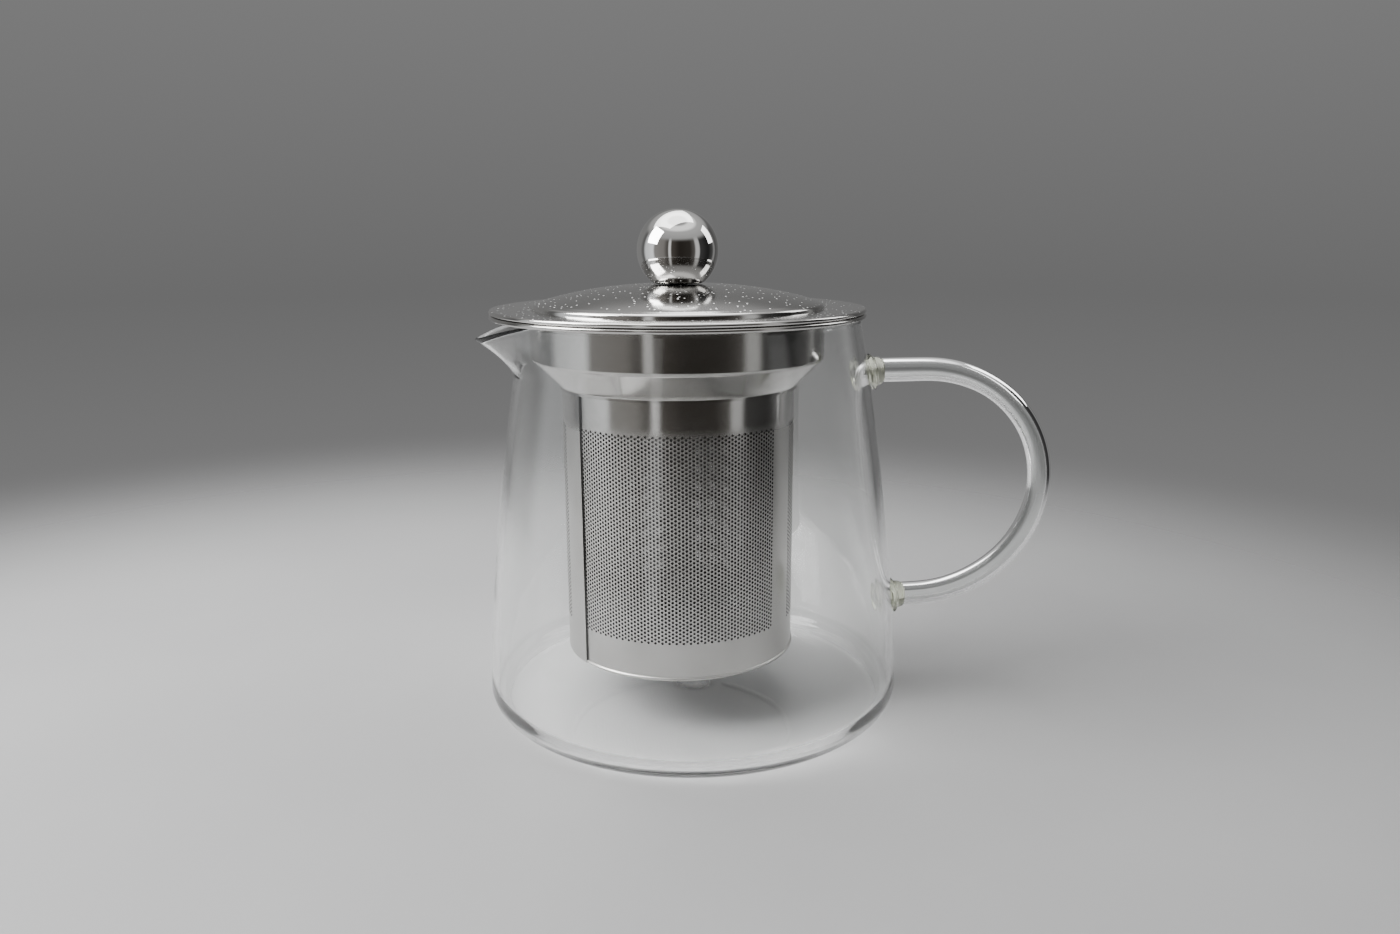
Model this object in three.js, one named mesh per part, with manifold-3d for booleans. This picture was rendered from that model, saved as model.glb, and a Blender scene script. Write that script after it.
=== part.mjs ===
// A small glass teapot with a lift-out steel tea infuser and a domed steel lid.
// Millimetres, +Z up. The origin is on the jug's own axis, on the face it stands on.
// The handle points along +X and the spout along -X.
import * as THREE from "three";
import { mergeVertices } from "three/addons/utils/BufferGeometryUtils.js";
import Module from "manifold-3d";

const wasm = await Module();
wasm.setup();

// Faceting, and the gap kept between touching pieces.
const RING_SEGMENTS = 40;
const SMALL_SEGMENTS = 18;
const GAP = 0.3;

// Glass jug.
const BASE_RADIUS = 54.7;
const MOUTH_RADIUS = 42.7;
const RIM_HEIGHT = 102.6;
const WALL_CURVE = 1.54; // power of height along which the wall leans in
const WALL = 1.9;
const FLOOR = 2.6;
const FOOT_CORNER = 6.5;
const INNER_CORNER = 5.5;
const PUNT_RADIUS = 9;
const PUNT_HEIGHT = 1.4;

// Spout, pulled out of the rim.
const SPOUT_REACH = 12.4;
const SPOUT_DIP = 5.4;
const SPOUT_ROOT = 88; // height at which the wall starts to lean out
const SPOUT_HALF_ANGLE = 0.66;
const SPOUT_SHARPNESS = 2.1;
const SPOUT_TIP_ROUNDING = 0.06;

// Handle: a glass rod bent into half an ellipse, with straight ends on two welded collars.
const ROD_RADIUS = 3.2;
const HANDLE_X = 62.9; // where the bend starts
const HANDLE_REACH = 34.1;
const HANDLE_HALF_HEIGHT = 31.4;
const HANDLE_CENTRE = 55.6;
const STRAIGHT_SHARE = 0.08; // of the curve's parameter, at each end
const WELD_LENGTH = 5.2;
const NECK_RADIUS = 2.9;
const DISC_RADIUS = 4.6;
const COLLAR_RADIUS = 3.7;

// Steel sheet and the stack of flanges on the rim.
const SHEET = 0.6;
const FLANGE_RADIUS = 47.5;
const COLLAR_FLANGE_BOTTOM = RIM_HEIGHT + GAP;
const LID_FLANGE_BOTTOM = COLLAR_FLANGE_BOTTOM + SHEET + GAP;
const LID_FLANGE_TOP = LID_FLANGE_BOTTOM + SHEET;

// The infuser stands off centre, pushed towards the spout, and is turned in its seat.
const SEAT_SHIFT = -3.3;
const SEAT_TURN = THREE.MathUtils.degToRad(-8);

// Infuser collar: flange, band and cone.
const BAND_RADIUS = 37.15;
const BAND_BOTTOM = 91.9;
const LIP_RADIUS = 30.5;
const LIP_TOP = 85.3;
const LIP_BOTTOM = 84.5;

// Basket: a rolled perforated sheet with a lapped seam, and its base cup.
const BASKET_RADIUS = 29.7;
const BASKET_SHEET = 0.5;
const BASKET_BOTTOM = 15.5;
const BASKET_TOP = 86;
const LAP_TOP = LIP_BOTTOM - 0.5;
const LAP_EDGE = THREE.MathUtils.degToRad(-141.5);
const LAP_ANGLE = THREE.MathUtils.degToRad(17);
const BITE = 0.2; // how far the lap's solid reaches into the wall's
const CUP_DEPTH = 2.5;

// Lid: dome, flange, locating skirt.
const DOME_RADIUS = 35;
const DOME_HEIGHT = 5.8;
const DOME_DROP = 4.3; // from the centre to DOME_RADIUS
const DOME_CURVE = 2.4;
const SHOULDER_RADIUS = 37.4;
const SCREW_HOLE = 2.3;
const SKIRT_RADIUS = 36;
const SKIRT_DEPTH = 7;
const SKIRT_LIP = 3;

// Knob.
const BALL_RADIUS = 10.3;
const BALL_WALL = 0.8;
const BALL_CENTRE = LID_FLANGE_TOP + 14.05;
const DOME_TOP = LID_FLANGE_TOP + DOME_HEIGHT;
const INSERT_RADIUS = 4;
const INSERT_HEIGHT = 6;
const SCREW_RADIUS = 2;
const SCREW_HEAD_RADIUS = 3.6;
const SCREW_HEAD_HEIGHT = 2;
const WASHER_RADIUS = 5.5;

const GLASS = { color: 0xe8f0ee, roughness: 0.02, metalness: 0, transparent: true, opacity: 0.35 };
const POLISHED_STEEL = { color: 0xc9c8c6, roughness: 0.12, metalness: 1 };
const SATIN_STEEL = { color: 0xb3b1ad, roughness: 0.32, metalness: 1 };

// Points of an arc in a profile, from one angle to another.
function arc(centreR, centreZ, radius, from, to, steps) {
  const points = [];
  for (let i = 0; i <= steps; i++) {
    const angle = from + ((to - from) * i) / steps;
    points.push([centreR + radius * Math.cos(angle), centreZ + radius * Math.sin(angle)]);
  }
  return points;
}

// A solid of revolution about +Z. The profile runs with its material on the left, outside upwards.
function revolve(profile, segments, closed = true) {
  const points = profile.map(([r, z]) => new THREE.Vector2(r, z));
  if (closed) points.push(points[0].clone());
  return new THREE.LatheGeometry(points, segments).rotateX(Math.PI / 2);
}

function toSolid(geometry) {
  const bare = geometry.clone();
  bare.deleteAttribute("normal");
  bare.deleteAttribute("uv");
  const merged = mergeVertices(bare, 1e-4);
  return new wasm.Manifold(
    new wasm.Mesh({
      numProp: 3,
      vertProperties: new Float32Array(merged.attributes.position.array),
      triVerts: new Uint32Array(merged.index.array),
    }),
  );
}

function toGeometry(solid) {
  const { vertProperties, triVerts } = solid.getMesh();
  const geometry = new THREE.BufferGeometry();
  geometry.setAttribute("position", new THREE.BufferAttribute(vertProperties, 3));
  geometry.setIndex(new THREE.BufferAttribute(triVerts, 1));
  geometry.computeVertexNormals();
  return geometry;
}

function addPiece(group, name, geometry, finish) {
  const mesh = new THREE.Mesh(geometry, new THREE.MeshStandardMaterial(finish));
  mesh.name = name;
  group.add(mesh);
  return mesh;
}

// Outer radius of the jug at a height.
function jugRadius(z) {
  return BASE_RADIUS - (BASE_RADIUS - MOUTH_RADIUS) * (z / RIM_HEIGHT) ** WALL_CURVE;
}

// How far the wall leans outwards as it rises, as an angle.
function jugLean(z) {
  const step = 0.5;
  return Math.atan2(jugRadius(z + step) - jugRadius(z - step), 2 * step);
}

function jugProfile() {
  const bead = WALL / 2;
  const heights = [26, 50, 72, SPOUT_ROOT, 93, 98];
  const innerCorner = FLOOR + INNER_CORNER;
  const outer = heights.map((z) => [jugRadius(z), z]);
  const inner = heights.map((z) => [jugRadius(z) - WALL, z]).reverse();
  const footRadius = jugRadius(FOOT_CORNER) - FOOT_CORNER;
  const innerRadius = jugRadius(innerCorner) - WALL - INNER_CORNER;
  return [
    [0, 0],
    ...arc(footRadius, FOOT_CORNER, FOOT_CORNER, -Math.PI / 2, 0, 4),
    ...outer,
    ...arc(MOUTH_RADIUS - bead, RIM_HEIGHT - bead, bead, 0, Math.PI, 4),
    ...inner,
    ...arc(innerRadius, innerCorner, INNER_CORNER, 0, -Math.PI / 2, 3),
    [PUNT_RADIUS, FLOOR],
    [PUNT_RADIUS * 0.45, FLOOR + PUNT_HEIGHT * 0.8],
    [0, FLOOR + PUNT_HEIGHT],
  ];
}

// Pulls the rim out and down around -X, fading out sideways and down the wall.
function pullSpout(geometry) {
  const position = geometry.attributes.position;
  for (let i = 0; i < position.count; i++) {
    const x = position.getX(i);
    const y = position.getY(i);
    const z = position.getZ(i);
    const radius = Math.hypot(x, y);
    if (z < SPOUT_ROOT || radius < 1) continue;
    const away = Math.atan2(y, -x);
    const side = Math.hypot(away, SPOUT_TIP_ROUNDING) - SPOUT_TIP_ROUNDING;
    if (side >= SPOUT_HALF_ANGLE) continue;
    const rise = (z - SPOUT_ROOT) / (RIM_HEIGHT - SPOUT_ROOT);
    const pull = (1 - side / SPOUT_HALF_ANGLE) ** SPOUT_SHARPNESS * rise ** 1.2;
    const scale = (radius + SPOUT_REACH * pull) / radius;
    position.setXYZ(i, x * scale, y * scale, z - SPOUT_DIP * pull);
  }
  return geometry;
}

// The rod's centre line in the XZ plane, from the upper collar round to the lower one.
class HandleLine extends THREE.Curve {
  constructor(start, end) {
    super();
    this.start = start;
    this.end = end;
  }

  getPoint(t, target = new THREE.Vector3()) {
    const top = HANDLE_CENTRE + HANDLE_HALF_HEIGHT;
    const bottom = HANDLE_CENTRE - HANDLE_HALF_HEIGHT;
    if (t < STRAIGHT_SHARE) {
      return target.set(THREE.MathUtils.lerp(this.start, HANDLE_X, t / STRAIGHT_SHARE), 0, top);
    }
    if (t > 1 - STRAIGHT_SHARE) {
      const left = (1 - t) / STRAIGHT_SHARE;
      return target.set(THREE.MathUtils.lerp(this.end, HANDLE_X, left), 0, bottom);
    }
    const turned = (Math.PI * (t - STRAIGHT_SHARE)) / (1 - 2 * STRAIGHT_SHARE);
    const x = HANDLE_X + HANDLE_REACH * Math.sin(turned);
    return target.set(x, 0, HANDLE_CENTRE + HANDLE_HALF_HEIGHT * Math.cos(turned));
  }
}

function handleRod(start, end) {
  const section = new THREE.Shape();
  section.absarc(0, 0, ROD_RADIUS, 0, 2 * Math.PI);
  return new THREE.ExtrudeGeometry(section, {
    extrudePath: new HandleLine(start, end),
    steps: 32,
    curveSegments: 6,
    bevelEnabled: false,
  });
}

// A weld stands on the wall: neck, flared disc, then a collar around the rod's end.
function weldCollar() {
  const profile = [
    [0, 0],
    [NECK_RADIUS + 0.9, 0],
    [NECK_RADIUS, 0.8],
    [NECK_RADIUS, 1.6],
    [DISC_RADIUS, 2.4],
    [DISC_RADIUS, 2.9],
    [COLLAR_RADIUS - 0.2, 3.6],
    [COLLAR_RADIUS, 4.2],
    [COLLAR_RADIUS - 0.3, WELD_LENGTH],
    [0, WELD_LENGTH],
  ];
  return revolve(profile, SMALL_SEGMENTS, false);
}

// Stands a weld square on the wall, ending at the rod's height, and returns where the rod starts.
function placeWeld(group, name, rodHeight) {
  const lean = jugLean(rodHeight);
  const z = rodHeight + WELD_LENGTH * Math.sin(lean);
  const wall = jugRadius(z) + GAP;
  const weld = addPiece(group, name, weldCollar(), GLASS);
  weld.position.set(wall, 0, z);
  weld.rotation.y = Math.PI / 2 + lean;
  return wall + WELD_LENGTH * Math.cos(lean) + COLLAR_RADIUS * Math.abs(Math.sin(lean)) + GAP;
}

function buildJug() {
  const jug = new THREE.Group();
  addPiece(jug, "glass_body", pullSpout(revolve(jugProfile(), RING_SEGMENTS, false)), GLASS);
  const top = HANDLE_CENTRE + HANDLE_HALF_HEIGHT;
  const rodStart = placeWeld(jug, "handle_weld_upper", top);
  const rodEnd = placeWeld(jug, "handle_weld_lower", top - 2 * HANDLE_HALF_HEIGHT);
  addPiece(jug, "handle_rod", handleRod(rodStart, rodEnd), GLASS);
  return jug;
}

// Flange, band and 45 degree cone, pressed from one sheet.
function collarProfile() {
  const top = COLLAR_FLANGE_BOTTOM + SHEET;
  const bend = 1.4;
  const edge = SHEET / 2;
  const slant = SHEET * Math.tan(Math.PI / 8);
  return [
    ...arc(BAND_RADIUS + bend, COLLAR_FLANGE_BOTTOM - bend, bend, Math.PI, Math.PI / 2, 2),
    ...arc(FLANGE_RADIUS - edge, top - edge, edge, -Math.PI / 2, Math.PI / 2, 3),
    ...arc(BAND_RADIUS + bend, COLLAR_FLANGE_BOTTOM - bend, bend + SHEET, Math.PI / 2, Math.PI, 2),
    [BAND_RADIUS - SHEET, BAND_BOTTOM + slant],
    [LIP_RADIUS - SHEET, LIP_TOP + slant],
    [LIP_RADIUS - SHEET, LIP_BOTTOM],
    [LIP_RADIUS, LIP_BOTTOM],
    [LIP_RADIUS, LIP_TOP],
    [BAND_RADIUS, BAND_BOTTOM],
  ];
}

// A ring, or part of one, between two radii and two heights.
function ringSlab(outer, inner, from, to, bottom, top) {
  const full = to - from > 6.28;
  const shape = new THREE.Shape();
  shape.absarc(0, 0, outer, from, to, false);
  if (full) {
    const hole = new THREE.Path();
    hole.absarc(0, 0, inner, to, from, true);
    shape.holes.push(hole);
  } else {
    shape.absarc(0, 0, inner, to, from, true);
    shape.closePath();
  }
  const options = { depth: top - bottom, bevelEnabled: false, curveSegments: full ? 48 : 4 };
  return new THREE.ExtrudeGeometry(shape, options).translate(0, 0, bottom);
}

function basketWall() {
  const inside = BASKET_RADIUS - BASKET_SHEET;
  const wall = ringSlab(BASKET_RADIUS, inside, 0, 2 * Math.PI, BASKET_BOTTOM, BASKET_TOP);
  const from = LAP_EDGE - LAP_ANGLE;
  const outside = BASKET_RADIUS + BASKET_SHEET;
  const lap = ringSlab(outside, inside + BITE, from, LAP_EDGE, BASKET_BOTTOM, LAP_TOP);
  return toGeometry(toSolid(wall).add(toSolid(lap)));
}

function basketBase() {
  const radius = BASKET_RADIUS - BASKET_SHEET - GAP;
  const corner = 1;
  const sheet = BASKET_SHEET;
  const z = BASKET_BOTTOM;
  const profile = [
    [0, z],
    ...arc(radius - corner, z + corner, corner, -Math.PI / 2, 0, 2),
    [radius, z + CUP_DEPTH],
    [radius - sheet, z + CUP_DEPTH],
    ...arc(radius - corner, z + corner, corner - sheet, 0, -Math.PI / 2, 2),
    [0, z + sheet],
  ];
  return revolve(profile, RING_SEGMENTS, false);
}

function buildInfuser() {
  const infuser = new THREE.Group();
  infuser.position.x = SEAT_SHIFT;
  addPiece(infuser, "infuser_collar", revolve(collarProfile(), RING_SEGMENTS), POLISHED_STEEL);
  addPiece(infuser, "basket_wall", basketWall(), SATIN_STEEL);
  addPiece(infuser, "basket_base", basketBase(), SATIN_STEEL);
  infuser.rotation.z = SEAT_TURN;
  return infuser;
}

// Height of the dome's outer face over the flange, at a radius.
function domeHeight(r) {
  return DOME_HEIGHT - DOME_DROP * (r / DOME_RADIUS) ** DOME_CURVE;
}

function lidProfile() {
  const z = LID_FLANGE_TOP;
  const edge = SHEET / 2;
  const radii = [10, 19, 27, DOME_RADIUS];
  const face = radii.map((r) => [r, z + domeHeight(r)]);
  const back = radii.map((r) => [r - SHEET * 0.2, z + domeHeight(r) - SHEET]);
  return [
    [SCREW_HOLE, z + domeHeight(SCREW_HOLE) - SHEET],
    ...back,
    [SHOULDER_RADIUS - SHEET, z - SHEET],
    ...arc(FLANGE_RADIUS - edge, z - edge, edge, -Math.PI / 2, Math.PI / 2, 3),
    [SHOULDER_RADIUS + 0.8, z],
    [SHOULDER_RADIUS - 0.4, z + 0.4],
    ...face.reverse(),
    [SCREW_HOLE, z + domeHeight(SCREW_HOLE)],
  ];
}

// An L-section ring under the lid that drops into the collar's band.
function skirtProfile() {
  const top = LID_FLANGE_BOTTOM;
  const bottom = top - SKIRT_DEPTH;
  const inside = SKIRT_RADIUS - SHEET;
  return [
    [inside, bottom],
    [SKIRT_RADIUS, bottom],
    [SKIRT_RADIUS, top],
    [SKIRT_RADIUS - SKIRT_LIP, top],
    [SKIRT_RADIUS - SKIRT_LIP, top - SHEET],
    [inside, top - SHEET],
  ];
}

// Half the outline of a ball that is cut flat at a height.
function cutBall(radius, flat, steps) {
  const low = Math.asin((flat - BALL_CENTRE) / radius);
  return [[0, flat], ...arc(0, BALL_CENTRE, radius, low, Math.PI / 2, steps)];
}

// A hollow ball that stands flat on the dome, bored where the screw enters.
function knobBall() {
  const foot = DOME_TOP + GAP;
  const floor = foot + BALL_WALL;
  const segments = SMALL_SEGMENTS + 4;
  const solid = toSolid(revolve(cutBall(BALL_RADIUS, foot, 10), segments, false));
  const hollow = toSolid(revolve(cutBall(BALL_RADIUS - BALL_WALL, floor, 6), segments, false));
  const outline = [[0, foot - 1], [SCREW_HOLE, foot - 1], [SCREW_HOLE, floor + 1], [0, floor + 1]];
  const bore = toSolid(revolve(outline, segments, false));
  return toGeometry(solid.subtract(hollow).subtract(bore));
}

// The threaded insert inside the ball, plain where its thread would be.
function knobInsert() {
  const bottom = DOME_TOP + GAP + BALL_WALL + GAP;
  const top = bottom + INSERT_HEIGHT;
  const bore = SCREW_RADIUS + GAP;
  const profile = [[bore, bottom], [INSERT_RADIUS, bottom], [INSERT_RADIUS, top], [bore, top]];
  return revolve(profile, SMALL_SEGMENTS);
}

function washerBottom() {
  return DOME_TOP - 2 * SHEET - GAP;
}

function knobWasher() {
  const bottom = washerBottom();
  const bore = SCREW_RADIUS + GAP;
  const top = bottom + SHEET;
  const profile = [[bore, bottom], [WASHER_RADIUS, bottom], [WASHER_RADIUS, top], [bore, top]];
  return revolve(profile, SMALL_SEGMENTS);
}

// A pan head screw with a plain shank, from under the lid up into the insert.
function knobScrew() {
  const seat = washerBottom() - GAP;
  const head = seat - SCREW_HEAD_HEIGHT;
  const tip = DOME_TOP + 2 * GAP + BALL_WALL + INSERT_HEIGHT - 1;
  const profile = [
    [0, head],
    [SCREW_HEAD_RADIUS - 1, head],
    [SCREW_HEAD_RADIUS - 0.3, head + 0.6],
    [SCREW_HEAD_RADIUS, seat],
    [SCREW_RADIUS, seat],
    [SCREW_RADIUS, tip - 0.5],
    [SCREW_RADIUS - 0.5, tip],
    [0, tip],
  ];
  return revolve(profile, SMALL_SEGMENTS, false);
}

function buildLid() {
  const lid = new THREE.Group();
  lid.position.x = SEAT_SHIFT;
  addPiece(lid, "lid_shell", revolve(lidProfile(), RING_SEGMENTS), POLISHED_STEEL);
  addPiece(lid, "lid_skirt", revolve(skirtProfile(), RING_SEGMENTS), SATIN_STEEL);
  addPiece(lid, "knob_ball", knobBall(), POLISHED_STEEL);
  addPiece(lid, "knob_insert", knobInsert(), SATIN_STEEL);
  addPiece(lid, "knob_washer", knobWasher(), SATIN_STEEL);
  addPiece(lid, "knob_screw", knobScrew(), SATIN_STEEL);
  lid.rotation.z = SEAT_TURN;
  return lid;
}

const teapot = new THREE.Group();
teapot.add(buildJug(), buildInfuser(), buildLid());

export default teapot;
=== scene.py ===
"""The looks of a small glass teapot with a lift-out steel tea infuser, built around its CAD frame.

Metres, +Z up, in the frame of the CAD. The handle points along +X and the spout along -X.
"""
import math

import bpy
import numpy as np
from mathutils import Matrix, Vector


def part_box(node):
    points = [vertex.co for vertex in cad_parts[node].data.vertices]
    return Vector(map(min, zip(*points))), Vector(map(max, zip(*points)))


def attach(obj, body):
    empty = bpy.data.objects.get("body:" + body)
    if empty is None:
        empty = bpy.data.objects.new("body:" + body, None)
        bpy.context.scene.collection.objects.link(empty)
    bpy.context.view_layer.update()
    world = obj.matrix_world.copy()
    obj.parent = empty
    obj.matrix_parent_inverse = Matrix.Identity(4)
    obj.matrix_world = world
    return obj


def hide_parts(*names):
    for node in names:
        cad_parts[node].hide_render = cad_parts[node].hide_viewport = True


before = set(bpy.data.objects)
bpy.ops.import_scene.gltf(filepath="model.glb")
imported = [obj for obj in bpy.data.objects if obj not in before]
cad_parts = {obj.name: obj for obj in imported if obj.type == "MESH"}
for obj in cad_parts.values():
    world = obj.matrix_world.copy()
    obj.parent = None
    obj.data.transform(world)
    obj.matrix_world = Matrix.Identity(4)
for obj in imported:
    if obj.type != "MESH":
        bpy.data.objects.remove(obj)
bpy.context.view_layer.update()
MM = 0.001

# ---------------------------------------------------------------- sizes

# From the frame.
JUG_LOW, JUG_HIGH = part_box("glass_body")
COLLAR_LOW, COLLAR_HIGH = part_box("infuser_collar")
WALL_LOW, WALL_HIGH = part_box("basket_wall")
LID_LOW, LID_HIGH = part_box("lid_shell")
SKIRT_LOW, SKIRT_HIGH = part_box("lid_skirt")
BALL_LOW, BALL_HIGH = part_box("knob_ball")
ROD_LOW, ROD_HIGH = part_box("handle_rod")
INSERT_LOW, INSERT_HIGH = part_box("knob_insert")
WASHER_LOW, WASHER_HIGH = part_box("knob_washer")
SCREW_LOW, SCREW_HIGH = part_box("knob_screw")

# Jug.
RIM_HEIGHT = JUG_HIGH.z
BASE_RADIUS = 54.7 * MM
MOUTH_RADIUS = 42.7 * MM
WALL_CURVE = 1.54  # power of height along which the wall leans in
WALL = 1.9 * MM
FLOOR = 2.6 * MM
FOOT_CORNER = 6.5 * MM
INNER_CORNER = 5.5 * MM
PUNT_RADIUS = 9 * MM
PUNT_HEIGHT = 1.4 * MM
SPOUT_REACH = 12.4 * MM
SPOUT_DIP = 5.4 * MM
SPOUT_ROOT = 88 * MM
SPOUT_HALF_ANGLE = 0.66
SPOUT_SHARPNESS = 2.1  # power by which the pull fades out sideways
SPOUT_BEND = 1.2  # power of height by which the pull grows
SPOUT_TIP_ROUNDING = 0.06
JUG_SEGMENTS = 288

# Handle.
ROD_RADIUS = (ROD_HIGH.y - ROD_LOW.y) / 2
HANDLE_X = 62.9 * MM  # where the bend starts
HANDLE_CENTRE = (ROD_LOW.z + ROD_HIGH.z) / 2
HANDLE_HALF_HEIGHT = (ROD_HIGH.z - ROD_LOW.z) / 2 - ROD_RADIUS
HANDLE_REACH = ROD_HIGH.x - ROD_RADIUS - HANDLE_X
ROD_RINGS = 180
ROD_SIDES = 48
ROD_SMOOTHINGS = 12
WELD_LENGTH = 5.2 * MM
WELD_GAP = 0.03 * MM
WELD_PROFILE = [  # radius and distance from the wall, in millimetres
    (4.0, 0.0), (3.6, 0.2), (3.15, 0.6), (2.95, 1.2), (3.0, 1.7), (3.4, 2.0), (4.2, 2.2),
    (4.7, 2.32), (4.82, 2.45), (4.7, 2.6), (4.3, 2.85), (3.95, 3.2), (3.75, 3.7), (3.65, 4.3),
    (3.5, 4.8), (3.3, 5.1), (3.1, 5.2),
]

# Steel.
SEAT_X = (COLLAR_LOW.x + COLLAR_HIGH.x) / 2  # the infuser and the lid stand off the jug's axis
SEAT_TURN = math.radians(-8)
SHEET = 0.5 * MM
FLANGE_RADIUS = (COLLAR_HIGH.x - COLLAR_LOW.x) / 2
BEAD = 0.58 * MM  # radius of a flange's rolled edge
ROLL_TURN = 300  # degrees through which that edge is rolled

# Infuser.
BAND_RADIUS = 37.15 * MM
BAND_BOTTOM = 91.9 * MM
LIP_RADIUS = 30.5 * MM
LIP_TOP = 85.3 * MM
LIP_BOTTOM = 84.5 * MM
BASKET_RADIUS = 29.7 * MM
BASKET_SHEET = 0.35 * MM
LAP_STEP = 0.42 * MM  # how far the outer layer stands off the inner one
PITCH = 1.0 * MM
COLUMN = PITCH * math.sqrt(3) / 2
COLUMNS = 62
ROWS = 52
HOLE_RADIUS = 0.32 * MM
HOLE_INNER_RADIUS = 0.23 * MM  # the holes taper inwards through the sheet
HOLE_SIDES = 8
HOLES_BOTTOM = 24.7 * MM
HOLES_TOP = HOLES_BOTTOM + ROWS * PITCH
PANEL_ANGLE = COLUMNS * COLUMN / BASKET_RADIUS
THIRD = 2 * math.pi / 3
STRIP_ANGLE = THIRD - PANEL_ANGLE
BASE_RING_SHEET = 0.35 * MM
CRIMP_RADIUS = 0.45 * MM

# Lid and knob.
LID_TOP = LID_LOW.z + 0.6 * MM  # the upper face of its flange
DOME_RADIUS = 35 * MM
DOME_HEIGHT = LID_HIGH.z - LID_TOP
DOME_DROP = 4.3 * MM
DOME_CURVE = 2.4  # power of radius along which the dome falls away
SHOULDER_RADIUS = 37 * MM
SCREW_HOLE = 2.3 * MM
SKIRT_SHEET = 0.5 * MM
BALL_RADIUS = 10.3 * MM
BALL_WALL = 0.8 * MM
BALL_CENTRE = BALL_HIGH.z - BALL_RADIUS
BALL_FOOT = BALL_LOW.z - 0.15 * MM

# Camera.
LENS = 27.386
SENSOR_WIDTH = 36
CAMERA_PLACE = Vector((-36.0, -271.3, 125.3)) * MM
CAMERA_TURN = math.radians(-8)
CAMERA_TILT = math.radians(-12.95)
CAMERA_ROLL = math.radians(-0.22)

# Studio, as polished surfaces reflect it.
STUDIO_FRONT = math.radians(-98)
STUDIO_WALLS = [  # degrees from the front, to the right; brightness; warmth
    (-180, 0.22, 0.00), (-128, 0.26, 0.00), (-112, 0.16, 0.00), (-98, 0.80, -0.02),
    (-74, 0.95, -0.02), (-66, 0.30, 0.03), (-42, 0.26, 0.04), (-27, 0.12, 0.06),
    (-23, 0.80, 0.00), (-20, 0.80, 0.00), (-16, 0.09, 0.10), (8, 0.040, 0.12),
    (34, 0.05, 0.10), (48, 0.12, 0.05), (55, 0.60, 0.00), (62, 0.60, 0.00),
    (68, 0.07, 0.00), (96, 0.035, 0.00), (112, 0.09, 0.00), (124, 0.30, 0.00),
    (132, 0.12, 0.00), (150, 0.16, 0.00), (180, 0.22, 0.00),
]
STUDIO_CEILING = [  # degrees above the horizon; brightness; warmth
    (20, 0.24, 0), (34, 0.44, 0), (50, 0.52, 0), (59, 1.15, 0), (67, 1.15, 0), (75, 0.42, 0),
    (90, 0.45, 0),
]
STUDIO_GROUND = 0.36
WALLS_INTO_CEILING = (22, 36)  # degrees above the horizon
WALLS_INTO_GROUND = (-16, -30)

# Stage.
BACKDROP = [  # height, from 0 straight below to 1 straight above; brightness; warmth
    (0.30, 0.30, 0), (0.39, 0.19, 0), (0.47, 0.155, 0), (0.60, 0.20, 0), (1.0, 0.25, 0),
]
FLOOR_CENTRE = (-0.05, -0.02, 0)
FLOOR_DROP = 0.02 * MM
FLOOR_FADE = 0.12
FLOOR_REACH = 0.44
FLOOR_SIDES = 96
LIGHT_TARGET = (0, 0, 0.05)
LIGHTS = [  # name, place, size, watts
    ("key", (-0.46, -0.04, 0.40), (0.34, 0.34), 3.2),
    ("top", (-0.06, 0.12, 0.60), (0.62, 0.50), 2.0),
    ("fill", (0.50, 0.10, 0.36), (0.22, 0.30), 0.5),
]

# Materials. Scales are cycles for each metre.
FINE_LINES = (5200.0, 2.2)  # cycles for each metre across the turned lines and each radian along
COARSE_LINES = (900.0, 1.1)
COARSE_SHARE = 0.2
LINE_ROUGHNESS = 0.03  # share of the roughness that the lines add and take away
SMUDGE_SCALE = 46.0
SPOT_SCALE = 780.0
SPOT_RADIUS = (0.12, 0.24)  # in cells: solid up to the first, gone at the second
SPOT_CHANCE = (0.50, 0.54)
SPOT_ROUGHNESS = 0.30
SPOT_COLOUR = (0.92, 0.92, 0.92, 1)
SPOTS_LIE_ABOVE = (0.75, 0.9)  # height of the surface's normal
POLISH_BLEND = 1.5 * MM
POLISH_SHARE = 0.4  # of the roughness that is left where the satin is polished
GLASS_IOR = 1.474
FILM_SCALE = 38.0
SCUFF_HEIGHT = (0.3 * MM, 1.2 * MM)

RING_SEGMENTS = 192
SMALL_SEGMENTS = 64
SHARP_ANGLE = math.radians(38)


# ---------------------------------------------------------------- profiles and meshes

def arc(centre_r, centre_z, radius, start, end, steps):
    """Points of an arc in a profile; the angles are in degrees."""
    angles = np.radians(np.linspace(start, end, steps + 1))
    return [(centre_r + radius * math.cos(a), centre_z + radius * math.sin(a)) for a in angles]


def rounded_path(corners, steps=6):
    """A path through (r, z, fillet) corners, each rounded by its own radius."""
    path = []
    for i, (r, z, fillet) in enumerate(corners):
        if fillet == 0 or i in (0, len(corners) - 1):
            path.append((r, z))
            continue
        corner = Vector((r, z))
        before = (Vector(corners[i - 1][:2]) - corner).normalized()
        after = (Vector(corners[i + 1][:2]) - corner).normalized()
        half = before.angle(after) / 2
        reach = fillet / math.tan(half)
        centre = corner + (before + after).normalized() * (fillet / math.sin(half))
        first = corner + before * reach - centre
        last = corner + after * reach - centre
        turn = first.angle(last)
        for step in range(steps + 1):
            share = step / steps
            mixed = first * math.sin((1 - share) * turn) + last * math.sin(share * turn)
            path.append(tuple(centre + mixed / math.sin(turn)))
    return path


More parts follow.
